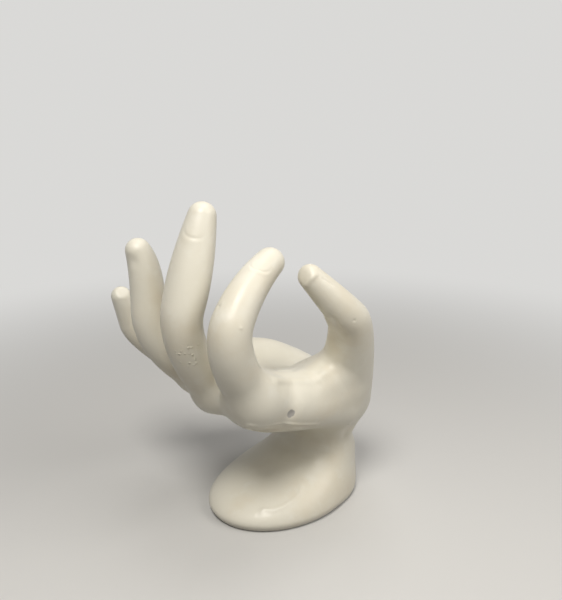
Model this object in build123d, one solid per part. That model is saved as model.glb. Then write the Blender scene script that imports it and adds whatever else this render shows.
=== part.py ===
from build123d import *
from dataclasses import dataclass
from math import cos, pi, radians, sin, sqrt
import os

# A left hand, palm up, standing on its own flared foot. Millimetres, +Z up.
# The origin is the middle of the foot on the ground. Seen from -Y, +X is to the right.

# Foot and wrist: an oval column that flares out to the foot
FOOT_LENGTH = 71.5
FOOT_BREADTH = 55.0
FOOT_TURN = 34.0  # long axis of the oval, degrees from +X
FOOT_ROUND = 2.5  # rounding where the flare turns under
FLARE_TOP = 26.0  # height at which the flare has become the wrist
FLARE_POWER = 1.13  # over 1 keeps the flare full for longer
WRIST_DEPTH = 28.0
WRIST_BREADTH = 38.0
WRIST_TOP_DEPTH = 32.0
WRIST_TOP_BREADTH = 42.0
WRIST_SHIFT_X = 16.0  # middle of the wrist from the middle of the foot
WRIST_SHIFT_Y = 12.5
WRIST_DOME = 57.0  # height of the wrist's rounded end inside the palm
WRIST_DOME_RISE = 9.0
WRIST_SEAM = 36.0  # height at which the hand is luted to the foot

# Hollow of the foot and its felt
FOOT_WALL = 8.0
FELT_MARGIN = 4.0
FELT_THICKNESS = 1.5
FELT_PROUD = 0.5

# Slip joints: each casting has a round or oval stub that seats in its neighbour
JOINT_CLEARANCE = 0.25
STUB_LENGTH = 6.0
FINGER_STUB_DIAMETER = 6.5
THUMB_STUB_DIAMETER = 9.0
WRIST_STUB_DEPTH = 14.0
WRIST_STUB_BREADTH = 22.0

# Hand: where the wrist joint is, where the hand points and how steeply it rises
HAND_X = 12.5
HAND_Y = 16.0
HAND_Z = 46.0
HAND_BEARING = -138.0  # degrees from +X, seen from above
HAND_SLOPE = 18.0


@dataclass
class PalmSection:
    """A cut across the palm, its widths and heights measured from the hand's middle line."""

    along: float
    little_edge: float
    little_height: float
    heel_pad: float  # pad below the little finger
    hollow: float
    thumb_pad: float
    web: float  # ridge that runs from the index finger to the thumb
    thumb_edge: float
    thumb_height: float
    back_corner: float  # where the sides turn to the back
    back: float


PALM_HEEL = 6.0  # depth of the rounding behind the palm's first cut
PAD_SPREAD = 0.6  # where the pads lie between the palm's middle and its edges
WEB_SPREAD = 0.88
BACK_SPREAD = 0.76
PALM_SECTIONS = [
    PalmSection(-10, -22, 1, 12, 10, 9.5, 5, 23, -1, -6, -8.5),
    PalmSection(-3, -24.5, 2.5, 14.5, 12.5, 15, 10, 27, 0, -7.5, -10),
    PalmSection(5, -26, 3, 16.5, 14, 20, 17, 30.5, 5, -8.5, -11.5),
    PalmSection(14, -27.5, 3, 18, 14.5, 23, 21.5, 33, 10, -8.5, -11),
    PalmSection(22, -29.5, 2, 17.5, 12, 22, 21, 33.5, 10, -8.5, -10.5),
    PalmSection(30, -32, 1.5, 16.5, 9.5, 17, 17, 32.5, 7, -9, -10),
    PalmSection(40, -34.5, 1.5, 14.5, 8.5, 15, 12.5, 32, 3, -9, -9),
    PalmSection(49, -36.5, 2, 12, 8.5, 14, 11.5, 32.5, 3, -8, -8),
    PalmSection(57, -34, 2.5, 9.5, 8.5, 13, 11.5, 32.5, 3.5, -5, -6.5),
]


@dataclass
class Digit:
    """A finger or the thumb: corners of its middle line and the thickness at each of them.

    The line starts at the root joint, touches the middle of the leg between the two joints and ends in
    the middle of the round tip. Each corner is measured along, across and up in the hand.
    """

    root: tuple
    first_joint: tuple
    second_joint: tuple
    tip: tuple
    root_diameter: float
    first_diameter: float
    second_diameter: float
    tip_diameter: float
    seam: float  # from the root joint to the face where the digit is luted on
    stub_diameter: float


INDEX_FINGER = Digit(
    (57.5, 23.5, 4), (83.5, 31.5, 21), (77.5, 29, 44.5), (68.5, 28, 54.5),
    17.2, 16, 12.6, 11, 13, FINGER_STUB_DIAMETER,
)
MIDDLE_FINGER = Digit(
    (59.5, 4.5, 0.5), (87.5, 10.5, 18), (87, 9.5, 47), (87.5, 9.5, 64.5),
    16.8, 14.8, 14.8, 10.8, 13, FINGER_STUB_DIAMETER,
)
RING_FINGER = Digit(
    (56, -12, 2.5), (84, -10, 11.5), (90, -13.5, 41), (95, -14, 47),
    17, 12.6, 12.6, 9.8, 13, FINGER_STUB_DIAMETER,
)
LITTLE_FINGER = Digit(
    (50.5, -28, 2), (76, -33.5, 10), (83.5, -33, 22.5), (87, -33, 26.5),
    16, 10.2, 9.4, 8.4, 12, FINGER_STUB_DIAMETER,
)
THUMB = Digit(
    (2.5, 19.5, 5), (25, 39.5, 37.5), (40.5, 40.5, 44.5), (54, 35, 53),
    28.8, 15.2, 13.4, 9, 28, THUMB_STUB_DIAMETER,
)

DIGITS = {
    "index_finger": INDEX_FINGER,
    "middle_finger": MIDDLE_FINGER,
    "ring_finger": RING_FINGER,
    "little_finger": LITTLE_FINGER,
    "thumb": THUMB,
}


def bearing(angle, lift):
    """Direction at a compass angle from +X and a lift above the level."""
    level = cos(radians(lift))
    return Vector(level * cos(radians(angle)), level * sin(radians(angle)), sin(radians(lift)))


ALONG = bearing(HAND_BEARING, HAND_SLOPE)
UP = bearing(HAND_BEARING, HAND_SLOPE + 90)
ACROSS = UP.cross(ALONG)  # towards the thumb
WRIST = Vector(HAND_X, HAND_Y, HAND_Z)


def in_hand(along, across, up):
    """Point measured from the wrist joint, along, across and up out of the palm."""
    return WRIST + ALONG * along + ACROSS * across + UP * up


def oval(height, length, breadth, shift):
    """Oval of the column at a height, its middle moved from the foot's towards the wrist's."""
    middle = Vector(WRIST_SHIFT_X * shift, WRIST_SHIFT_Y * shift, height)
    plane = Plane(middle).rotated((0, 0, FOOT_TURN))
    rim = [
        plane.from_local_coords((length / 2 * cos(radians(angle)), breadth / 2 * sin(radians(angle)), 0))
        for angle in range(0, 360, 30)
    ]
    return make_face(Spline(rim, periodic=True))


def column_size(height):
    """Length, breadth and shift of the column: an even swell from the foot to the wrist."""
    share = min(max((height - FOOT_ROUND) / (FLARE_TOP - FOOT_ROUND), 0), 1)
    shift = (0.5 - 0.5 * cos(pi * share)) ** FLARE_POWER
    length = FOOT_LENGTH + (WRIST_DEPTH - FOOT_LENGTH) * shift
    breadth = FOOT_BREADTH + (WRIST_BREADTH - FOOT_BREADTH) * shift
    return length, breadth, shift


def make_foot_body():
    """Flare with the lower wrist on it, rounded under the foot."""
    rounding = []
    for angle in (0, 45, 90):
        inset = 2 * FOOT_ROUND * (1 - sin(radians(angle)))
        height = FELT_PROUD + (FOOT_ROUND - FELT_PROUD) * (1 - cos(radians(angle)))
        rounding.append(oval(height, FOOT_LENGTH - inset, FOOT_BREADTH - inset, 0))
    heights = [FOOT_ROUND + (FLARE_TOP - FOOT_ROUND) * step / 4 for step in range(5)]
    flare = [oval(height, *column_size(height)) for height in heights]
    wrist = extrude(flare[-1], WRIST_SEAM - FLARE_TOP)
    return loft(rounding) + loft(flare) + wrist


def make_wrist_body():
    """Upper wrist, which widens into the palm and is closed by a dome inside it."""
    sections = [oval(WRIST_SEAM, WRIST_DEPTH, WRIST_BREADTH, 1)]
    for angle in (0, 35, 65):
        height = WRIST_DOME - WRIST_DOME_RISE * (1 - sin(radians(angle)))
        narrowing = cos(radians(angle))
        sections.append(oval(height, WRIST_TOP_DEPTH * narrowing, WRIST_TOP_BREADTH * narrowing, 1))
    return loft(sections + [Vertex(WRIST_SHIFT_X, WRIST_SHIFT_Y, WRIST_DOME)])


def make_hollow():
    """Inside of the foot, left open below."""
    top = WRIST_SEAM - FOOT_WALL
    steps = 4
    sections = []
    for step in range(steps + 1):
        height = FELT_PROUD + (top - FELT_PROUD) * step / steps
        length, breadth, shift = column_size(height)
        sections.append(oval(height, length - 2 * FOOT_WALL, breadth - 2 * FOOT_WALL, shift))
    return loft(sections)


def make_felt(clearance):
    """Oval pad under the foot; the recess for it is the same oval with its clearance."""
    length = FOOT_LENGTH - 2 * FELT_MARGIN + 2 * clearance
    breadth = FOOT_BREADTH - 2 * FELT_MARGIN + 2 * clearance
    return extrude(oval(0, length, breadth, 0), FELT_THICKNESS)


def wrist_stub(clearance):
    """Oval stub on the foot's top, or with a clearance the socket for it in the palm."""
    breadth = WRIST_STUB_BREADTH + 2 * clearance
    depth = WRIST_STUB_DEPTH + 2 * clearance
    shift = column_size(WRIST_SEAM)[2]
    return extrude(oval(WRIST_SEAM, depth, breadth, shift), STUB_LENGTH + clearance)


def palm_outline(section, share=1.0):
    """Closed curve of one cut: two pads with the hollow between them, the web and the flat back.

    A share below 1 gives a smaller cut further back, on the rounding of the heel.
    """
    middle = (section.thumb_edge + section.little_edge) / 2
    to_thumb = (section.thumb_edge - middle) * share
    to_little = (section.little_edge - middle) * share
    outline = [
        (middle + to_thumb, section.thumb_height),
        (middle + to_thumb * WEB_SPREAD, section.web),
        (middle + to_thumb * PAD_SPREAD, section.thumb_pad),
        (middle, section.hollow),
        (middle + to_little * PAD_SPREAD, section.heel_pad),
        (middle + to_little, section.little_height),
        (middle + to_little * BACK_SPREAD, section.back_corner),
        (middle, section.back),
        (middle + to_thumb * BACK_SPREAD, section.back_corner),
    ]
    along = section.along - PALM_HEEL * sqrt(1 - share**2)
    points = [in_hand(along, across, section.little_height + (up - section.little_height) * share)
              for across, up in outline]
    return make_face(Spline(points, periodic=True))


def make_palm_body():
    """Palm from its rounded heel to the knuckle line."""
    first = PALM_SECTIONS[0]
    heel_middle = (first.little_edge + first.thumb_edge) / 2
    heel = [Vertex(*in_hand(first.along - PALM_HEEL, heel_middle, first.little_height))]
    heel += [palm_outline(first, share) for share in (0.5, 0.85, 1.0)]
    cuts = [palm_outline(section) for section in PALM_SECTIONS]
    return loft(heel) + loft(cuts[:3]) + loft(cuts[2:7]) + loft(cuts[6:])


def bow(start, corner, stop, share):
    """Point of the round line that leaves a start towards a corner and reaches a stop from it."""
    return start * (1 - share) ** 2 + corner * (2 * share * (1 - share)) + stop * share**2


def make_digit_body(digit):
    """Whole digit from its rounded root inside the palm to its rounded tip."""
    root, first, second, tip = (
        in_hand(*corner) for corner in (digit.root, digit.first_joint, digit.second_joint, digit.tip)
    )
    half_way = (first + second) / 2
    half_way_diameter = (digit.first_diameter + digit.second_diameter) / 2
    leaving = (first - root).normalized()
    ending = (tip - second).normalized()
    side = leaving.cross(ending)

    def cut(point, direction, diameter):
        """Round cut across the digit."""
        return Plane(point, x_dir=side, z_dir=direction) * Circle(diameter / 2)

    root_end = [Vertex(*(root - leaving * (digit.root_diameter / 2)))]
    for angle in (60, 30, 0):
        back = leaving * (digit.root_diameter / 2 * sin(radians(angle)))
        root_end.append(cut(root - back, leaving, digit.root_diameter * cos(radians(angle))))
    tip_end = []
    for angle in (0, 35, 65):
        ahead = ending * (digit.tip_diameter / 2 * sin(radians(angle)))
        tip_end.append(cut(tip + ahead, ending, digit.tip_diameter * cos(radians(angle))))
    tip_end.append(Vertex(*(tip + ending * (digit.tip_diameter / 2))))
    body = loft(root_end) + loft(tip_end)
    lower = (root, first, half_way), (digit.root_diameter, digit.first_diameter, half_way_diameter)
    upper = (half_way, second, tip), (half_way_diameter, digit.second_diameter, digit.tip_diameter)
    for (start, corner, stop), diameters in (lower, upper):
        leg = []
        for share in (0, 1 / 3, 2 / 3, 1):
            direction = (corner - start) * (1 - share) + (stop - corner) * share
            leg.append(cut(bow(start, corner, stop, share), direction, bow(*diameters, share)))
        body = body + loft(leg)
    return body


def seam_plane(digit):
    """Face on which the digit is luted to the palm, looking towards the tip."""
    root = in_hand(*digit.root)
    leaving = (in_hand(*digit.first_joint) - root).normalized()
    return Plane(root + leaving * digit.seam, z_dir=leaving)


def digit_stub(digit, clearance):
    """Round stub behind the digit's seam, or with a clearance the socket for it in the palm."""
    radius = digit.stub_diameter / 2 + clearance
    length = STUB_LENGTH + clearance
    stub = Cylinder(radius, length, align=(Align.CENTER, Align.CENTER, Align.MAX))
    return seam_plane(digit) * stub


def write(node, shape):
    """One file for one casting."""
    shape.label = node
    export_step(shape, f"parts/{node}.step")


os.makedirs("parts", exist_ok=True)

wrist_seam = Plane((0, 0, WRIST_SEAM))
palm_body = make_palm_body()
foot = make_foot_body() + split(palm_body, bisect_by=wrist_seam, keep=Keep.BOTTOM)
foot = foot + wrist_stub(0) - make_hollow() - make_felt(JOINT_CLEARANCE)
write("flared_foot", foot)
write("felt_pad", make_felt(0))

palm = split(palm_body, bisect_by=wrist_seam, keep=Keep.TOP) + make_wrist_body()
for node, digit in DIGITS.items():
    body = make_digit_body(digit)
    palm = palm + split(body, bisect_by=seam_plane(digit), keep=Keep.BOTTOM)
    write(node, split(body, bisect_by=seam_plane(digit), keep=Keep.TOP) + digit_stub(digit, 0))
palm = palm - wrist_stub(JOINT_CLEARANCE)
for digit in DIGITS.values():
    palm = palm - digit_stub(digit, JOINT_CLEARANCE)
write("palm", palm)
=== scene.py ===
import bpy
import math
import numpy as np
from concurrent.futures import ThreadPoolExecutor
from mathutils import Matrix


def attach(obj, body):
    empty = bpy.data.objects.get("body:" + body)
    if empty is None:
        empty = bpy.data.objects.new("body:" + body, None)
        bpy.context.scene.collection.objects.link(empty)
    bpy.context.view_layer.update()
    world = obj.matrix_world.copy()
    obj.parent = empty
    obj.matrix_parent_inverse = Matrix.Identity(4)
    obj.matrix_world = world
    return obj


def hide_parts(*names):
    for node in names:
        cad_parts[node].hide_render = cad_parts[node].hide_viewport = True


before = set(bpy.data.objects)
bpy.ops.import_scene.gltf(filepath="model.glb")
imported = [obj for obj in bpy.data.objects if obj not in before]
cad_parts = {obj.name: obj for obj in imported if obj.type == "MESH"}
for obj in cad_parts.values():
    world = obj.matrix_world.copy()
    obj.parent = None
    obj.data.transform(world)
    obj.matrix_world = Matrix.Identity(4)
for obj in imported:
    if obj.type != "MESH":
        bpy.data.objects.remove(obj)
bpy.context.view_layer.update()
print("frame loaded:", ", ".join(sorted(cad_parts)))

metre = 0.001  # the skin is worked out in millimetres and put into metres when its meshes are made


# directions and places

# where the wrist joint is, which way the hand points seen from above, and its rise
handPose = dict(wrist=(12.5, 16.0, 46.0), bearing=-138.0, slope=18.0)


def towards(angle, lift):  # unit direction: angle from +X seen from above, lift above the level
    level = math.cos(math.radians(lift))
    turn = math.radians(angle)
    return np.array([level * math.cos(turn), level * math.sin(turn), math.sin(math.radians(lift))])


def unit(v):  # the same direction with length one
    return v / np.linalg.norm(v, axis=-1, keepdims=True)


alongHand = towards(handPose["bearing"], handPose["slope"])
upFromPalm = towards(handPose["bearing"], handPose["slope"] + 90)
handAxes = np.array([alongHand, np.cross(upFromPalm, alongHand), upFromPalm])


def inHand(places):  # places given along the hand, across it to the thumb, and up out of the palm
    return np.array(handPose["wrist"]) + np.array(places, float) @ handAxes


# camera: the photo's view, with pixels counted in a frame of 562 by 600

view = dict(place=(-0.5, -242.0, 168.0), tilt=73.0, lens=36.0, sensor=36.0, frame=(562, 600))
camera = bpy.data.objects.new("camera", bpy.data.cameras.new("camera"))
camera.location = [v * metre for v in view["place"]]
camera.rotation_euler = (math.radians(view["tilt"]), 0, 0)
camera.data.lens = view["lens"]
camera.data.sensor_width = view["sensor"]
camera.data.clip_start = 0.005
bpy.context.scene.collection.objects.link(camera)
bpy.context.scene.camera = camera


def rays(pixels):  # directions from the camera through pixels: right, up and ahead, turned by the tilt
    width, height = view["frame"]
    focal = view["lens"] / view["sensor"] * max(width, height)
    right = (np.array(pixels, float)[:, 0] - width / 2) / focal
    rise = (height / 2 - np.array(pixels, float)[:, 1]) / focal
    tilt = math.radians(view["tilt"])
    s, c = math.sin(tilt), math.cos(tilt)
    return unit(np.column_stack([right, rise * c + s, rise * s - c]))


# building stones of the skin: each gives a distance in millimetres, negative inside

farOff = 1e6  # farther than anything here
tubeSearch = dict(reach=15.0, beads=7, turns=4, leastFall=0.25)


def melt(a, b, blend):  # smaller of two distances, with a soft fillet where they differ by less than blend
    share = np.clip(0.5 + 0.5 * (b - a) / blend, 0, 1)
    return b + (a - b) * share - blend * share * (1 - share)


def ease(x, low, high):  # 0 below low, 1 above high, smooth between
    t = np.clip((x - low) / (high - low), 0, 1)
    return t * t * (3 - 2 * t)


def bowLine(knots, radii):
    # round pieces of a line that leaves along its first leg, touches the middle of each leg between and ends
    # along the last one, with the radius as a fourth column; each piece is start + run * t + bend * t * t
    rows = np.column_stack([knots, radii])
    joints = np.vstack([rows[:1], (rows[1:-2] + rows[2:-1]) / 2, rows[-1:]])
    start, corner, stop = joints[:-1], rows[1:-1], joints[1:]
    return np.stack([start, 2 * (corner - start), start - 2 * corner + stop], axis=1)


def pointOn(piece, t):  # start + run * t + bend * t * t
    return piece[0] + t * (piece[1] + t * piece[2])


def tube(p, line, reach=tubeSearch["reach"], side=None, widen=1.0):
    # distance to the balls that the radius draws along the line; points out of reach get a lower bound
    best = np.full(len(p), farOff)
    pLow, pHigh = p.min(axis=0), p.max(axis=0)
    starts = np.linspace(0, 1, tubeSearch["beads"])[:, None]
    for piece in line:
        beads = pointOn(piece, starts)
        thick = beads[:, 3].max() * widen + reach
        low, high = beads[:, :3].min(axis=0) - thick, beads[:, :3].max(axis=0) + thick
        apart = np.linalg.norm(np.maximum(np.maximum(low - pHigh, pLow - high), 0))
        if apart > 0:
            np.minimum(best, reach + apart, out=best)
            continue
        outside = np.linalg.norm(np.maximum(np.maximum(low - p, p - high), 0), axis=1)
        value = reach + outside
        near = outside == 0
        q = p[near]
        squares = ((q[:, None] - beads[:, :3]) ** 2).sum(axis=2)
        t = starts[squares.argmin(axis=1)]
        # the gap stands square to the line, but leans where the radius changes
        for turn in range(tubeSearch["turns"]):
            gap = pointOn(piece[:, :3], t) - q
            run = piece[1, :3] + 2 * t * piece[2, :3]
            lean = (piece[1, 3] + 2 * t * piece[2, 3]) * np.sqrt((gap * gap).sum(axis=1, keepdims=True))
            speed = (run * run).sum(axis=1, keepdims=True)
            fall = np.maximum(speed + 2 * (gap @ piece[2, :3])[:, None], tubeSearch["leastFall"] * speed)
            t = np.clip(t - ((gap * run).sum(axis=1, keepdims=True) - lean) / fall, 0, 1)
        spot = pointOn(piece, t)
        gap = q - spot[:, :3]
        if side is not None:
            gap = gap - (gap @ side)[:, None] * side * (1 - 1 / widen)
        value[near] = np.sqrt((gap * gap).sum(axis=1)) - spot[:, 3]
        np.minimum(best, value, out=best)
    return best


# fingers and thumb: corners of the middle line, along, across and up in the hand, from the root joint to the
# middle of the round tip; thickness at each of them; distance from the root joint to the seam

indexFinger = dict(line=((57.5, 23.5, 4), (83.5, 31.5, 21), (77.5, 29, 44.5), (68.3, 28, 54.7)),
                   thick=(17.2, 16, 13.4, 10.6), seam=13)
middleFinger = dict(line=((59.5, 4.5, 0.5), (87.5, 10.5, 18), (87, 9.5, 47), (87.5, 9.5, 65)),
                    thick=(16.8, 13.8, 17.2, 10.2), seam=13)
ringFinger = dict(line=((56, -12, 2.5), (84, -10, 11.5), (90, -13.5, 41), (95.4, -14, 47.5)),
                  thick=(17, 12.6, 13.4, 9.4), seam=13)
littleFinger = dict(line=((50.5, -28, 2), (76, -33.5, 10), (83.5, -33, 22.5), (87.3, -33, 26.9)),
                    thick=(16, 10.2, 10, 8), seam=12)
thumb = dict(line=((2.5, 19.5, 5), (25, 39.5, 37.5), (40.5, 40.5, 44.5), (54, 35, 53)),
             thick=(28.8, 15.2, 13.4, 9), seam=28)
thumbInside = dict(line=((23, 29, 27.5), (30.5, 33.2, 34.2), (39, 38.3, 39.5)),
                   thick=(5, 5.4, 4.2))  # the thumb's flat near side
thumbInside["bow"] = bowLine(inHand(thumbInside["line"]), np.array(thumbInside["thick"]) / 2)
digits = dict(index_finger=indexFinger, middle_finger=middleFinger, ring_finger=ringFinger,
              little_finger=littleFinger, thumb=thumb)
for digit in digits.values():
    corners = inHand(digit["line"])
    digit["bow"] = bowLine(corners, np.array(digit["thick"]) / 2)
    digit["way"] = unit(corners[1] - corners[0])
    digit["seamPlace"] = corners[0] + digit["way"] * digit["seam"]


# palm: a tube along each hand bone, melted with the pads, the web and the thumb side; lines as above

palmBones = dict(roots=((4, 11, 0), (4, 4, 0), (4, -4, 0), (4, -11, 0)), thick=(21, 19.2), widen=1.15,
                 blend=6, sag=2, rootExtra=0.4)
palmForms = dict(
    thumbEdge=dict(line=((-2, 18, -1), (18, 20, -1.5), (44, 20.5, -1.5)), thick=(18, 16, 16), blend=5),
    thumbSide=dict(line=((54, 21, 1.5), (36, 21, 1.5), (20, 22.5, 5), (4, 19, 4)),
                   thick=(19, 19.5, 20, 20), blend=8),
    thumbPad=dict(line=((4, 12, 4), (15, 17, 9), (18, 26, 14.5)), thick=(22, 24, 19), blend=6),
    heelPad=dict(line=((-12, -12, 0), (4, -14, 6), (24, -17, 9), (44, -22, 4)),
                 thick=(20, 21, 21, 17), blend=8),
    cupFloor=dict(line=((50, 16, 0.5), (33, 15, -1.5), (18, 15, 4)), thick=(19, 19, 20), blend=6),
    thumbRoot=dict(line=((36, 24.5, 3.5), (22, 28, 8), (11, 28.3, 10)), thick=(16, 17, 17), blend=7),
    thumbHeel=dict(line=((38, 26, 2), (20, 28, -0.5), (8, 29, 0.5)), thick=(12, 12.5, 11), blend=7),
    web=dict(line=((51, 22.5, 7), (34, 26, 7.5), (27, 28.5, 11.5), (21, 29.5, 17)),
             thick=(11, 11, 11, 14), blend=4),
)
for form in palmForms.values():
    form["bow"] = bowLine(inHand(form["line"]), np.array(form["thick"]) / 2)
palmBones["bows"] = []
for start, digit in zip(palmBones["roots"], (indexFinger, middleFinger, ringFinger, littleFinger)):
    root = np.array(digit["line"][0])
    half = (np.array(start) + root) / 2 - (0, 0, palmBones["sag"])
    thick = np.array([*palmBones["thick"], digit["thick"][0] + palmBones["rootExtra"]])
    palmBones["bows"].append(bowLine(inHand([start, half, root]), thick / 2))


def palmShape(p):  # the bones melted together, then each form melted onto them
    bones = [tube(p, bow, side=handAxes[1], widen=palmBones["widen"]) for bow in palmBones["bows"]]
    d = bones[0]
    for bone in bones[1:]:
        d = melt(d, bone, palmBones["blend"])
    for form in palmForms.values():
        d = melt(d, tube(p, form["bow"]), form["blend"])
    return d


# foot and wrist: an oval column that swells out to the foot, with a recess below for the felt

foot = dict(length=71.5, breadth=55.0, turn=34.0, underRound=2.5, flareTop=26.0, flarePower=1.13,
            wristDepth=28.0, wristBreadth=38.0, wristShift=(16.0, 12.5), flareBlend=6.0,
            dome=57.0, domeRound=12.0, seam=36.0,
            flareRun=1.5, bentTo=0.75, straightSlope=1.23, leanSoft=0.1, leastHalf=4.0, ovalEase=0.65)
felt = dict(margin=4.0, thick=1.5, proud=0.5, edgeRound=0.4, clearance=0.25,
            edgeSteps=5, rings=12, innerRing=0.02, sides=96)


def ovalDistance(x, y, a, b):  # about the distance to an oval of half axes a and b, turned as the foot is
    turn = math.radians(foot["turn"])
    u = x * math.cos(turn) + y * math.sin(turn)
    v = y * math.cos(turn) - x * math.sin(turn)
    ring = np.sqrt((u / a) ** 2 + (v / b) ** 2) + 1e-9
    return ring * (ring - 1) / (np.sqrt((u / a ** 2) ** 2 + (v / b ** 2) ** 2) + 1e-9)


def footShape(p):  # the flare goes on narrowing inside the wrist, so that the two melt in a soft hollow
    x, y, z = p.T
    rise = np.clip((z - foot["underRound"]) / (foot["flareTop"] - foot["underRound"]), 0, foot["flareRun"])
    bent = np.minimum(rise, foot["bentTo"])
    shift = (0.5 - 0.5 * np.cos(np.pi * bent)) ** foot["flarePower"] + foot["straightSlope"] * (rise - bent)
    tuck = foot["underRound"] * np.clip(1 - z / (2 * foot["underRound"]), 0, 1) ** 2
    a = (foot["length"] + (foot["wristDepth"] - foot["length"]) * shift) / 2 - tuck
    b = (foot["breadth"] + (foot["wristBreadth"] - foot["breadth"]) * shift) / 2 - tuck
    a, b = np.maximum(a, foot["leastHalf"]), np.maximum(b, foot["leastHalf"])
    soft = foot["leanSoft"]  # the middle of the flare comes to rest softly over the wrist's
    lean = np.minimum(shift, 1 + soft) - np.clip(shift - (1 - soft), 0, 2 * soft) ** 2 / (4 * soft)
    shiftX, shiftY = foot["wristShift"]
    flare = foot["ovalEase"] * ovalDistance(x - shiftX * lean, y - shiftY * lean, a, b)
    wrist = ovalDistance(x - shiftX, y - shiftY, foot["wristDepth"] / 2, foot["wristBreadth"] / 2)
    wrist = foot["ovalEase"] * wrist
    wall = melt(flare, wrist, foot["flareBlend"])
    top = z - foot["dome"]
    r = foot["domeRound"]
    corner = np.hypot(np.maximum(wall + r, 0), np.maximum(top + r, 0)) - r
    column = np.where((wall > -r) & (top > -r), corner, np.maximum(wall, top))
    recess = ovalDistance(x, y, foot["length"] / 2 - felt["margin"] + felt["clearance"],
                          foot["breadth"] / 2 - felt["margin"] + felt["clearance"])
    recess = np.maximum(recess, z - felt["thick"])
    return np.maximum(np.maximum(column, felt["proud"] - z), -recess)


bodyMelts = dict(wrist=9, fingers=1.5, root=5, thumbSideRoot=4, thumbSideReach=4, thumbInside=4, thumb=3)


def bodyShape(p):  # fillets to the palm are broad on the thumb side, creases between the fingers are narrow
    body = melt(palmShape(p), footShape(p), bodyMelts["wrist"])
    fingers = tube(p, indexFinger["bow"])
    for digit in (middleFinger, ringFinger, littleFinger):
        fingers = melt(fingers, tube(p, digit["bow"]), bodyMelts["fingers"])
    reach = bodyMelts["thumbSideReach"]
    thumbSide = ease((p - indexFinger["seamPlace"]) @ handAxes[1], -reach, reach)
    d = melt(body, fingers, bodyMelts["root"] + bodyMelts["thumbSideRoot"] * thumbSide)
    wholeThumb = melt(tube(p, thumb["bow"]), tube(p, thumbInside["bow"]), bodyMelts["thumbInside"])
    return melt(d, wholeThumb, bodyMelts["thumb"])


# relief: what the casting shows on its skin, placed by the pixels at which the photo's view shows it

rayWalk = dict(start=120, turns=90, share=0.5, back=-1, ahead=8)
slopeReach = 0.2
markReach = 3  # a mark reaches this many widths from its line or spot
# a nail's lines, as shares of its half size
nailForm = dict(squareness=2.4, plateEdge=(0.88, 1.0), grooveAt=1.0, grooveWidth=0.08, foldAt=1.2,
                foldWidth=0.13, behind=(-0.5, 0.4), sideFade=(0.6, 1.0), depthFade=0.4, reach=1.7)
facetForm = dict(box=1.3, fallOff=4)


def onSkin(pixels):  # where the rays through pixels meet the plain shape
    way = rays(pixels)
    p = np.array(view["place"]) + way * rayWalk["start"]
    for turn in range(rayWalk["turns"]):
        p = p + way * np.clip(rayWalk["share"] * bodyShape(p), rayWalk["back"], rayWalk["ahead"])[:, None]
    return p


def facing(places):  # outward directions of the plain shape
    steps = slopeReach * np.eye(3)
    return unit(np.column_stack([bodyShape(places + step) - bodyShape(places - step) for step in steps]))


def ridgeMark(pixels, height, width):  # a line that stands out, or is cut in where the height is below nought
    path = onSkin(pixels)
    reach = markReach * width

    def rise(p):
        nearest = np.full(len(p), farOff)
        for a, b in zip(path[:-1], path[1:]):
            run = b - a
            t = np.clip((p - a) @ run / (run @ run), 0, 1)
            nearest = np.minimum(nearest, np.linalg.norm(p - a - t[:, None] * run, axis=1))
        ends = np.minimum(np.linalg.norm(p - path[0], axis=1), np.linalg.norm(p - path[-1], axis=1))
        return height * np.exp(-(nearest / width) ** 2) * ease(ends, 0, reach)

    return dict(low=path.min(axis=0) - reach, high=path.max(axis=0) + reach, rise=rise)


def spotMark(pixel, height, width):  # a round bump or pit that dies away like a bell curve
    middle = onSkin([pixel])[0]
    reach = markReach * width

    def rise(p):
        return height * np.exp(-(((p - middle) / width) ** 2).sum(axis=1))

    return dict(low=middle - reach, high=middle + reach, rise=rise)


def nailMark(middle, cuticle, halfWidth, halfLength, plate, groove, fold):
    # a plate that stands a little above the finger, a groove round it and a soft fold behind the cuticle
    centre, back = onSkin([middle, cuticle])
    out = facing(centre[None])[0]
    ahead = centre - back
    ahead = unit(ahead - (ahead @ out) * out)
    across = np.cross(out, ahead)
    reach = nailForm["reach"] * max(halfWidth, halfLength)
    power = nailForm["squareness"]

    def rise(p):
        q = p - centre
        a, b = q @ across / halfWidth, q @ ahead / halfLength
        rim = (np.abs(a) ** power + np.abs(b) ** power) ** (1 / power)
        high = plate * (1 - ease(rim, *nailForm["plateEdge"]))
        high = high - groove * np.exp(-((rim - nailForm["grooveAt"]) / nailForm["grooveWidth"]) ** 2)
        high = high + fold * np.exp(-((rim - nailForm["foldAt"]) / nailForm["foldWidth"]) ** 2)
        high = high * ease(-b, *nailForm["behind"]) * (1 - ease(np.abs(a), *nailForm["sideFade"]))
        return high * ease(q @ out, -halfWidth, -nailForm["depthFade"] * halfWidth)

    return dict(low=centre - reach, high=centre + reach, rise=rise)


def facetCut(pixel, turn, depth, reach, soft):  # a flat pared off; turn leans it away from the skin
    middle = onSkin([pixel])[0]
    out = unit(facing(middle[None])[0] + np.array(turn, float))
    box = facetForm["box"] * reach
    return dict(low=middle - box, high=middle + box, middle=middle, out=out,
                depth=depth, reach=reach, soft=soft)


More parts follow.
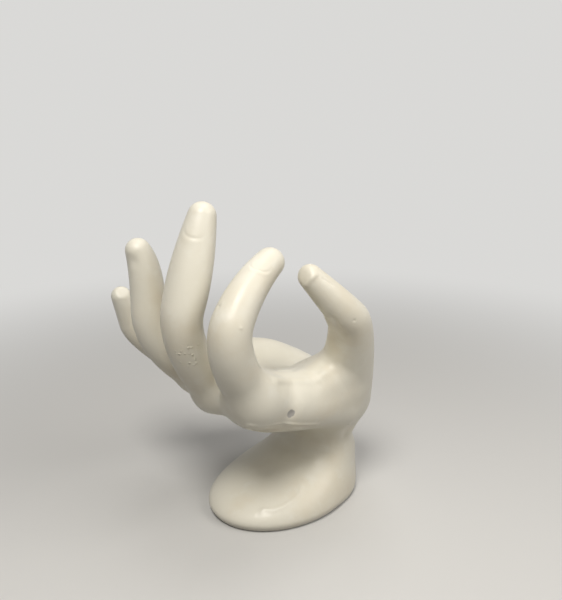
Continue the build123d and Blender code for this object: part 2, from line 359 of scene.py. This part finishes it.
nails = dict(
    index=dict(middle=(262, 259), cuticle=(258.5, 268.5), halfWidth=4.2, halfLength=4.8,
               plate=0.05, groove=0.15, fold=0.11),
    middle=dict(middle=(198, 217), cuticle=(194, 231), halfWidth=5.0, halfLength=7.4,
                plate=0.03, groove=0.06, fold=0.06),
)
ridges = dict(
    webEdge=dict(pixels=((270.5, 379.5), (290, 380.3), (310.7, 380.4), (319, 378), (334, 364)),
                 height=0.8, width=1.8),
    palmCrease=dict(pixels=((258, 355), (268, 367), (276, 370), (292, 370.5), (307, 358)),
                    height=-0.5, width=1.0),
    mouldSeam=dict(pixels=((231, 417), (250, 425), (271, 425), (297, 424.5), (320, 424)),
                   height=0.35, width=0.8),
    footRidge=dict(pixels=((257, 515), (264, 509), (273.5, 510), (283, 507), (292, 501), (299, 494),
                           (301, 485), (301, 480)), height=0.3, width=1.1),
    thumbFold=dict(pixels=((326, 314), (334, 319), (341, 331)), height=-0.45, width=1.0),
    thumbNailFold=dict(pixels=((321, 277.5), (328, 282), (335, 287)), height=-0.25, width=0.5),
    thumbNailEdge=dict(pixels=((304, 291), (306, 285), (310.5, 279.5), (316, 275), (320, 275.5)),
                       height=0.4, width=0.8),
)
spots = dict(
    chip=dict(pixel=(291, 414), height=-0.45, width=1.5),
    ringNail=dict(pixel=(133.5, 262), height=-0.35, width=2.2),
    seamSpeck=dict(pixel=(349, 424), height=0.3, width=0.6),
    indexPin=dict(pixel=(219, 306), height=-0.35, width=0.5),
    thumbPin=dict(pixel=(354.6, 320.5), height=-0.4, width=0.5),
    palmPin=dict(pixel=(257.5, 359), height=-0.35, width=0.5),
    indexSpeck=dict(pixel=(241, 328.5), height=0.25, width=0.5),
    gapSpeck=dict(pixel=(221, 397.5), height=0.25, width=0.5),
)
facets = dict(
    thumbTip=dict(pixel=(306, 276), turn=(-0.5, 0, 0.1), depth=0.5, reach=6, soft=1.6),
    littleTop=dict(pixel=(122, 295), turn=(0.1, 0, 0.5), depth=0.4, reach=4, soft=0.5),
)
marks = [nailMark(**nail) for nail in nails.values()]
marks += [ridgeMark(**ridge) for ridge in ridges.values()]
marks += [spotMark(**spot) for spot in spots.values()]
cuts = [facetCut(**facet) for facet in facets.values()]
print("relief:", len(marks), "marks,", len(cuts), "facets")


def handShape(p):  # the plain shape with its facets and marks
    d = bodyShape(p)
    pLow, pHigh = p.min(axis=0), p.max(axis=0)
    for form in cuts + marks:
        if (pHigh < form["low"]).any() or (pLow > form["high"]).any():
            continue
        near = ((p > form["low"]) & (p < form["high"])).all(axis=1)
        if "rise" in form:
            d[near] -= form["rise"](p[near])
        else:
            q = p[near] - form["middle"]
            beyond = np.maximum(np.linalg.norm(q, axis=1) - form["reach"], 0)
            flat = q @ form["out"] + form["depth"] - facetForm["fallOff"] * beyond
            d[near] = -melt(-d[near], -flat, form["soft"])
    return d


# skin: the zero level of the shape, one vertex in each small cell that it passes through

skin = dict(coarseCell=8.0, halvings=4, keep=1.75, margin=3.0, footShare=0.7, slopeStep=0.1, leastSlope=0.1,
            pulls=2, seamPulls=4, batch=5000, threads=4)
octants = np.stack(np.meshgrid([0, 1], [0, 1], [0, 1], indexing="ij"), -1).reshape(-1, 3)
keyBase = 4096  # more cells than a side has, so that a cell's key is one number
keyStride = keyBase ** np.arange(3)


def sample(shape, p):  # the shape at many points, a few thousand at a time
    parts = np.array_split(p, max(1, len(p) // skin["batch"]))
    with ThreadPoolExecutor(skin["threads"]) as pool:
        return np.concatenate(list(pool.map(shape, parts)))


def slopeAt(shape, p):  # value and direction of growth, from four samples on a small tetrahedron
    h = skin["slopeStep"]
    corners = np.array([[1, -1, -1], [-1, -1, 1], [-1, 1, -1], [1, 1, 1]], float)
    values = [sample(shape, p + c * h) for c in corners]
    return sum(values) / 4, sum(c * v[:, None] for c, v in zip(corners, values)) / (4 * h)


def pullToSkin(shape, p, turns, held=None):  # steps along the slope to the skin; held keeps points in a plane
    for turn in range(turns):
        value, g = slopeAt(shape, p)
        if held is not None:
            g = g - (g * held).sum(axis=1, keepdims=True) * held
        p = p - value[:, None] * g / np.maximum((g * g).sum(axis=1, keepdims=True), skin["leastSlope"])
    return p


def cellsOnSkin(shape, low, high):  # halves the cells that the skin may pass through until they are fine
    size = skin["coarseCell"]
    count = np.ceil((high - low) / size).astype(int)
    cells = np.stack(np.meshgrid(*[np.arange(n) for n in count], indexing="ij"), -1).reshape(-1, 3)
    for level in range(skin["halvings"] + 1):
        cells = cells[np.abs(sample(shape, low + (cells + 0.5) * size)) < size * skin["keep"]]
        if level < skin["halvings"]:
            cells = (2 * cells[:, None] + octants).reshape(-1, 3)
            size = size / 2
    return cells, size


def meshSkin(shape, low, high):
    # a vertex in each cell, at the mean of the crossings of its edges, and a face round each crossed edge
    cells, size = cellsOnSkin(shape, low, high)
    keys, first, inverse = np.unique(((cells[:, None] + octants) @ keyStride).ravel(),
                                     return_index=True, return_inverse=True)
    order = np.argsort(first)
    spots = keys[:, None] // keyStride % keyBase
    value = np.empty(len(keys))
    value[order] = sample(shape, low + spots[order] * size)
    value = value[inverse].reshape(-1, 8)
    crossed = (value.min(axis=1) < 0) & (value.max(axis=1) >= 0)
    cells, value = cells[crossed], value[crossed]
    total = np.zeros((len(cells), 3))
    count = np.zeros((len(cells), 1))
    cellEdges = [(i, i | bit) for i in range(8) for bit in (1, 2, 4) if not i & bit]
    for i, j in cellEdges:
        cut = (value[:, i] < 0) != (value[:, j] < 0)
        t = value[:, i] / np.where(cut, value[:, i] - value[:, j], 1)
        total += np.where(cut[:, None], octants[i] + t[:, None] * (octants[j] - octants[i]), 0)
        count += cut[:, None]
    points = low + (cells + total / np.maximum(count, 1)) * size
    cellKeys = cells @ keyStride
    order = np.argsort(cellKeys)

    def vertexIn(c):  # number of the vertex in each cell, or -1
        key = c @ keyStride
        at = order[np.minimum(np.searchsorted(cellKeys, key, sorter=order), len(order) - 1)]
        return np.where(cellKeys[at] == key, at, -1)

    quads = []
    steps = np.eye(3, dtype=int)
    for axis in range(3):  # each grid edge that is crossed joins the four cells round it
        one, two = steps[(axis + 1) % 3], steps[(axis + 2) % 3]
        near, far = value[:, 0], value[:, (4, 2, 1)[axis]]
        cut = (near < 0) != (far < 0)
        c = cells[cut]
        ring = np.column_stack([vertexIn(c), vertexIn(c - one), vertexIn(c - one - two), vertexIn(c - two)])
        ring = np.where((near[cut] >= 0)[:, None], ring[:, ::-1], ring)
        quads.append(ring[(ring >= 0).all(axis=1)])
    return points, np.vstack(quads)


allCorners = np.vstack([inHand(digit["line"]) for digit in digits.values()])
halfThumb, halfFoot = thumb["thick"][0] / 2, foot["length"] / 2
low = np.minimum(allCorners.min(axis=0) - halfThumb, [-halfFoot, -halfFoot, 0]) - skin["margin"]
high = np.maximum(allCorners.max(axis=0) + halfThumb, foot["length"] * skin["footShare"]) + skin["margin"]
points, quads = meshSkin(handShape, low, high)
points = pullToSkin(handShape, points, skin["pulls"])
print("skin:", len(points), "points,", len(quads), "faces")


# parting: what lies ahead of a seam and hangs together with the farthest point there belongs to its casting;
# the nearer end of every edge that crosses the seam is moved onto its plane, so that no face crosses it

partNames = ["palm", *digits, "flared_foot"]
seams = [(name, digit["seamPlace"], digit["way"]) for name, digit in digits.items()]
seams.append(("flared_foot", np.array([0, 0, foot["seam"]]), np.array([0, 0, -1.0])))
ownReach = 8.0  # skin this far from a digit's own round form may still belong to it

bows = [digit["bow"] for digit in digits.values()]
tubes = np.column_stack([sample(lambda p, line=bow: tube(p, line), points) for bow in bows])
nearest = np.where(tubes.min(axis=1) < ownReach, tubes.argmin(axis=1), -1)
edges = np.vstack([quads[:, [i, (i + 1) % 4]] for i in range(4)])
edges = np.unique(np.sort(edges, axis=1), axis=0)


def hangTogether(inside, start):  # the points inside that edges join to the start
    a, b = edges[inside[edges].all(axis=1)].T
    reached = np.zeros(len(points), bool)
    reached[start] = True
    count = 0
    while reached.sum() > count:
        count = reached.sum()
        grown = reached[a] | reached[b]
        reached[a[grown]] = True
        reached[b[grown]] = True
    return reached


label = np.zeros(len(points), int)
for number, (name, place, way) in enumerate(seams):
    ahead = (points - place) @ way
    inside = (ahead >= 0) & (name == "flared_foot" or nearest == number)
    inside = hangTogether(inside, np.where(inside, ahead, -farOff).argmax())
    a, b = edges[inside[edges[:, 0]] != inside[edges[:, 1]]].T
    cut = (ahead[a] < 0) != (ahead[b] < 0)
    nearer = np.unique(np.where(np.abs(ahead[a]) < np.abs(ahead[b]), a, b)[cut])
    label[inside] = number + 1
    label[nearer] = -1
    moved = points[nearer] - ahead[nearer][:, None] * way
    points[nearer] = pullToSkin(handShape, moved, skin["seamPulls"], held=way)
normals = unit(slopeAt(handShape, points)[1])

corners = label[quads]
most = corners.max(axis=1)
onSeam = corners < 0
split = ((onSeam[:, 0] & onSeam[:, 2]) | (onSeam[:, 1] & onSeam[:, 3])) & (onSeam.sum(axis=1) == 2)
split &= np.where(onSeam, len(partNames), corners).min(axis=1) != most
print("faces split at seams:", int(split.sum()))
halves = quads[split]
turned = label[halves[:, 0]] < 0
halves = np.where(turned[:, None], halves, np.roll(halves, 1, axis=1))  # first and third corner on the seam
triangles = np.vstack([halves[:, [0, 1, 2]], halves[:, [2, 3, 0]]])
quads = quads[~split]
quadLabel = np.maximum(label[quads].max(axis=1), 0)
triangleLabel = np.maximum(label[triangles].max(axis=1), 0)


def boundaryOf(faces):  # directed edges that no neighbour runs back along
    runs = np.vstack([np.column_stack([f.ravel(), np.roll(f, -1, axis=1).ravel()]) for f in faces])
    there = runs[:, 0] * len(points) + runs[:, 1]
    back = runs[:, 1] * len(points) + runs[:, 0]
    return runs[~np.isin(there, back)]


def addMesh(name, spots, faces, cornerNormals=None):  # faces as arrays of one row a face, in millimetres
    mesh = bpy.data.meshes.new(name)
    totals = np.concatenate([np.full(len(f), f.shape[1]) for f in faces])
    indices = np.concatenate([f.ravel() for f in faces])
    mesh.vertices.add(len(spots))
    mesh.vertices.foreach_set("co", (spots * metre).astype(np.float32).ravel())
    mesh.loops.add(len(indices))
    mesh.loops.foreach_set("vertex_index", indices.astype(np.int32))
    mesh.polygons.add(len(totals))
    mesh.polygons.foreach_set("loop_start", (np.cumsum(totals) - totals).astype(np.int32))
    mesh.polygons.foreach_set("use_smooth", np.ones(len(totals), bool))
    mesh.update(calc_edges=True)
    if cornerNormals is not None:
        mesh.normals_split_custom_set(cornerNormals)
    piece = bpy.data.objects.new(name, mesh)
    bpy.context.scene.collection.objects.link(piece)
    return piece


def facesOf(number):  # the quads and triangles of one casting's skin
    return [quads[quadLabel == number], triangles[triangleLabel == number]]


rims = [boundaryOf(facesOf(number)) for number in range(1, len(partNames))]


def castPiece(number):  # one casting: its share of the skin, closed at each seam by a fan to its middle
    faces = facesOf(number)
    spots = [points]
    corner = [normals[f].reshape(-1, 3) for f in faces]
    for seam in range(len(seams)) if number == 0 else [number - 1]:
        ring = rims[seam] if number == 0 else rims[seam][:, ::-1]
        spots.append(points[np.unique(ring)].mean(axis=0)[None])
        faces.append(np.column_stack([ring, np.full(len(ring), len(points) + len(spots) - 2)]))
        corner.append(np.broadcast_to(seams[seam][2] * (1 if number == 0 else -1), (3 * len(ring), 3)))
    spots = np.vstack(spots)
    used = np.unique(np.concatenate([f.ravel() for f in faces]))
    renumber = np.zeros(len(spots), int)
    renumber[used] = np.arange(len(used))
    name = partNames[number]
    piece = addMesh(name + "_skin", spots[used], [renumber[f] for f in faces if len(f)], np.vstack(corner))
    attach(piece, "root")
    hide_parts(name)
    count = sum(len(f) * (f.shape[1] - 2) for f in faces)
    print(name + ":", count, "triangles, open edges left:", len(boundaryOf(faces)))
    return piece


castings = [castPiece(number) for number in range(len(partNames))]


# felt: an oval pad with a rounded edge, as a profile from the middle round the edge and back to the middle

def feltPad():
    a = foot["length"] / 2 - felt["margin"]
    b = foot["breadth"] / 2 - felt["margin"]
    bend = np.linspace(0, np.pi / 2, felt["edgeSteps"])
    r = felt["edgeRound"]
    inset = np.concatenate([r - r * np.sin(bend), (r - r * np.sin(bend))[::-1]])
    level = np.concatenate([r - r * np.cos(bend), (felt["thick"] - r + r * np.cos(bend))[::-1]])
    share = np.linspace(felt["innerRing"], 1, felt["rings"])[:-1]
    below, above = (1 - share) * b + inset[0] * share, (1 - share) * b + inset[-1] * share
    inset = np.concatenate([below, inset, above[::-1]])
    level = np.concatenate([np.zeros(len(share)), level, np.full(len(share), felt["thick"])])
    angle = np.linspace(0, 2 * np.pi, felt["sides"], endpoint=False)
    turn = math.radians(foot["turn"])
    u = (a - inset[:, None] * a / b) * np.cos(angle)
    v = (b - inset[:, None]) * np.sin(angle)
    x = u * math.cos(turn) - v * math.sin(turn)
    y = u * math.sin(turn) + v * math.cos(turn)
    grid = np.stack([x, y, np.broadcast_to(level[:, None], x.shape)], -1)
    rows, columns = x.shape
    i, j = np.meshgrid(np.arange(rows - 1), np.arange(columns), indexing="ij")
    k = (j + 1) % columns
    faces = np.stack([i * columns + j, i * columns + k, (i + 1) * columns + k, (i + 1) * columns + j], -1)
    last = rows * columns
    around = np.arange(columns)
    under = np.column_stack([np.roll(around, -1), around, np.full(columns, last)])
    rim = (rows - 1) * columns + around
    over = np.column_stack([rim, np.roll(rim, -1), np.full(columns, last + 1)])
    spots = np.vstack([grid.reshape(-1, 3), [[0, 0, 0], [0, 0, felt["thick"]]]])
    piece = addMesh("felt_pad_skin", spots, [faces.reshape(-1, 4), under, over])
    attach(piece, "root")
    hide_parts("felt_pad")
    return piece


pad = feltPad()
print("felt pad made")


# finishes

class Link:  # an output socket on which + - * and < add Math nodes
    def __init__(self, finish, socket):
        self.finish = finish
        self.socket = socket

    def math(self, operation, a, b):
        return self.finish.node("ShaderNodeMath", dict(operation=operation), {0: a, 1: b})

    def __add__(self, other):
        return self.math("ADD", self, other)

    def __sub__(self, other):
        return self.math("SUBTRACT", self, other)

    def __rsub__(self, other):
        return self.math("SUBTRACT", other, self)

    def __mul__(self, other):
        return self.math("MULTIPLY", self, other)

    def __lt__(self, other):
        return self.math("LESS_THAN", self, other)

    __radd__ = __add__
    __rmul__ = __mul__


class Finish:  # a material, or the world's tree, and the nodes put into it
    def __init__(self, name, tree=None):
        self.tree = tree
        if tree is None:
            self.material = bpy.data.materials.new(name)
            self.material.use_nodes = True
            self.tree = self.material.node_tree
            self.shader = self.tree.nodes["Principled BSDF"]

    def node(self, kind, settings=None, sockets=None, out=0):  # a new node's output, as a Link
        made = self.tree.nodes.new(kind)
        for key, value in (settings or {}).items():
            setattr(made, key, value)
        self.feed(made, sockets or {})
        return Link(self, made.outputs[out])

    def feed(self, made, sockets):  # links or plain values into a node's sockets
        for key, value in sockets.items():
            if isinstance(value, Link):
                self.tree.links.new(value.socket, made.inputs[key])
            else:
                made.inputs[key].default_value = value

    def noise(self, vector, scale, detail=3.0, roughness=0.55):
        return self.node("ShaderNodeTexNoise", None,
                         {"Vector": vector, "Scale": scale, "Detail": detail, "Roughness": roughness})

    def ease(self, value, low, high):  # 0 below low, 1 above high, smooth between
        return self.node("ShaderNodeMapRange", dict(interpolation_type="SMOOTHSTEP"),
                         {"Value": value, "From Min": low, "From Max": high})

    def cells(self, vector, scale):  # distance to the nearest of many scattered points
        return self.node("ShaderNodeTexVoronoi", dict(feature="F1"), {"Vector": vector, "Scale": scale},
                         out="Distance")

    def distance(self, vector, place):  # in metres
        return self.node("ShaderNodeVectorMath", dict(operation="DISTANCE"), {0: vector, 1: place},
                         out="Value")

    def bump(self, height, strength, distance, under=None):  # under is the bump that this one lies on
        sockets = {"Height": height, "Strength": strength, "Distance": distance}
        return self.node("ShaderNodeBump", None, sockets if under is None else {**sockets, "Normal": under})

    def blend(self, factor, a, b):  # colour a where the factor is 0, b where it is 1
        return self.node("ShaderNodeMix", dict(data_type="RGBA"), {"Factor": factor, 6: a, 7: b}, out=2)


bubbles = dict(pixel=(189, 356), reach=0.0062, fade=0.003, scale=620, size=0.42, edge=0.3)
chipPlace, bubblePlace = onSkin([spots["chip"]["pixel"], bubbles["pixel"]]) * metre


def ivoryCeramic():  # clouded ivory with rare specks, a grey chip and a patch of blisters under a thin coat
    look = dict(body=(0.80, 0.765, 0.655, 1), warm=(0.76, 0.70, 0.565, 1), pale=(0.84, 0.815, 0.72, 1),
                speck=(0.42, 0.38, 0.31, 1), chip=(0.42, 0.40, 0.37, 1), chipReach=(0.0014, 0.0020),
                chipWaver=0.0012, waverScale=700, cloudScale=38, cloudEdge=(0.42, 0.72),
                patchScale=130, patchEdge=(0.52, 0.75), patchShare=0.6,
                speckScale=160, speckSize=0.05, speckShare=0.6, rareScale=60, rareEdge=(0.6, 0.66),
                swellScale=160, swellBump=(0.10, 0.001), grainScale=1500, grainBump=(0.06, 0.0004),
                blisterBump=(0.6, 0.0004), roughness=0.42, roughnessRange=0.16,
                coat=0.12, coatRoughness=0.32)  # a bump is its strength and its depth in metres
    finish = Finish("ivory ceramic")
    place = finish.node("ShaderNodeTexCoord", out="Object")
    cloud = finish.noise(place, look["cloudScale"], 4)
    patch = finish.noise(place, look["patchScale"], 3)
    grain = finish.noise(place, look["grainScale"], 2)
    colour = finish.blend(finish.ease(cloud, *look["cloudEdge"]), look["body"], look["warm"])
    patched = finish.ease(patch, *look["patchEdge"]) * look["patchShare"]
    colour = finish.blend(patched, colour, look["pale"])
    specks = finish.cells(place, look["speckScale"])
    rare = finish.noise(place, look["rareScale"], 1)
    speckled = (specks < look["speckSize"]) * finish.ease(rare, *look["rareEdge"]) * look["speckShare"]
    colour = finish.blend(speckled, colour, look["speck"])
    waver = finish.noise(place, look["waverScale"], 2) - 0.5
    chipped = finish.ease(finish.distance(place, chipPlace) + look["chipWaver"] * waver, *look["chipReach"])
    colour = finish.blend(chipped, look["chip"], colour)
    swell = finish.bump(finish.noise(place, look["swellScale"], 2), *look["swellBump"])
    bump = finish.bump(grain, *look["grainBump"], swell)
    near = finish.ease(bubbles["reach"] - finish.distance(place, bubblePlace), 0, bubbles["fade"])
    blisters = finish.ease(bubbles["size"] - finish.cells(place, bubbles["scale"]), 0, bubbles["edge"])
    bump = finish.bump(blisters * near, *look["blisterBump"], bump)
    roughness = look["roughness"] + look["roughnessRange"] * (patch - 0.5)
    finish.feed(finish.shader, {"Base Color": colour, "Roughness": roughness, "Normal": bump,
                                "Coat Weight": look["coat"], "Coat Roughness": look["coatRoughness"]})
    return finish.material


def darkFelt():  # matted fibres, darker and paler in tufts
    look = dict(dark=(0.06, 0.06, 0.055, 1), pale=(0.19, 0.19, 0.175, 1), fibreScale=1800, tuftScale=260,
                fibreShare=0.6, tuftShare=0.4, fibreBump=(0.6, 0.0005), roughness=0.95, sheen=0.3)
    finish = Finish("dark felt")
    place = finish.node("ShaderNodeTexCoord", out="Object")
    fibres = finish.noise(place, look["fibreScale"], 4, 0.7)
    tufts = finish.noise(place, look["tuftScale"], 3)
    paleness = fibres * look["fibreShare"] + tufts * look["tuftShare"]
    colour = finish.blend(paleness, look["dark"], look["pale"])
    bump = finish.bump(fibres, *look["fibreBump"])
    finish.feed(finish.shader, {"Base Color": colour, "Roughness": look["roughness"], "Normal": bump,
                                "Sheen Weight": look["sheen"]})
    return finish.material


ceramic = ivoryCeramic()
for piece in castings:
    piece.data.materials.append(ceramic)
pad.data.materials.append(darkFelt())
print("finishes made")


# studio: a pale floor that fades into an even backdrop, a dim pale world, and soft lamps in front, at the
# thumb side and above

studio = dict(floorReach=6.0, floorColour=(0.70, 0.695, 0.68, 1), floorGlow=(0.30, 0.295, 0.285, 1),
              backdrop=(0.70, 0.695, 0.68, 1), fade=(0.10, 0.45), worldLight=0.15,
              worldColour=(1.0, 0.98, 0.95, 1))
lamps = dict(
    key=dict(place=(-0.055, -0.314, 0.494), aim=(0, 0, 0.07), size=0.16, power=1.68,
             colour=(1.0, 0.97, 0.92)),
    fill=dict(place=(0.43, -0.25, 0.41), aim=(0, 0, 0.07), size=0.40, power=1.2, colour=(1.0, 0.97, 0.93)),
    top=dict(place=(0.05, 0.03, 0.62), aim=(0, 0, 0.07), size=0.30, power=0.75, colour=(1.0, 0.98, 0.95)),
)


def seenDirectly(finish):  # 1 for rays that show the backdrop itself, in sight, in gloss or through glass
    kinds = ("Camera", "Glossy", "Transmission")
    seen = [finish.node("ShaderNodeLightPath", out=f"Is {kind} Ray") for kind in kinds]
    return seen[0].math("MAXIMUM", seen[0].math("MAXIMUM", seen[0], seen[1]), seen[2])


def paleFloor():  # lit near the hand, so that it takes the shadow, and an even backdrop farther out
    reach = studio["floorReach"]
    mesh = bpy.data.meshes.new("floor")
    square = [(-reach, -reach, 0), (reach, -reach, 0), (reach, reach, 0), (-reach, reach, 0)]
    mesh.from_pydata(square, [], [(0, 1, 2, 3)])
    floor = bpy.data.objects.new("floor", mesh)
    bpy.context.scene.collection.objects.link(floor)
    finish = Finish("pale floor")
    seen = seenDirectly(finish)
    finish.feed(finish.shader, {"Base Color": finish.blend(seen, studio["floorGlow"], studio["floorColour"]),
                                "Roughness": 0.9, "Specular IOR Level": 0.0})
    place = finish.node("ShaderNodeTexCoord", out="Object")
    away = finish.node("ShaderNodeVectorMath", dict(operation="LENGTH"), {0: place}, out="Value")
    glow = finish.node("ShaderNodeEmission", None, {"Color": studio["backdrop"], "Strength": 1.0})
    mixed = finish.node("ShaderNodeMixShader", None, {0: finish.ease(away, *studio["fade"]) * seen,
                                                      1: Link(finish, finish.shader.outputs[0]), 2: glow})
    finish.feed(finish.tree.nodes["Material Output"], {"Surface": mixed})
    mesh.materials.append(finish.material)


def paleWorld():  # shows the backdrop's colour and lights only dimly
    world = bpy.data.worlds.new("studio")
    world.use_nodes = True
    bpy.context.scene.world = world
    finish = Finish(None, world.node_tree)
    seen = seenDirectly(finish)
    back = finish.tree.nodes["Background"]
    finish.feed(back, {"Color": finish.blend(seen, studio["worldColour"], studio["backdrop"]),
                       "Strength": studio["worldLight"] + (1 - studio["worldLight"]) * seen})


def softLamp(name, place, aim, size, power, colour):  # a round lamp turned to its aim
    lamp = bpy.data.lights.new(name, "AREA")
    lamp.shape = "DISK"
    lamp.size = size
    lamp.energy = power
    lamp.color = colour
    stand = bpy.data.objects.new(name, lamp)
    stand.location = place
    way = np.array(aim) - np.array(place)
    tip = math.acos(-way[2] / np.linalg.norm(way))
    stand.rotation_euler = (tip, 0, math.atan2(way[1], way[0]) - math.pi / 2)
    bpy.context.scene.collection.objects.link(stand)


paleFloor()
paleWorld()
for name, lamp in lamps.items():
    softLamp(name, **lamp)
bpy.context.scene.view_settings.view_transform = "Standard"
print("studio lit")
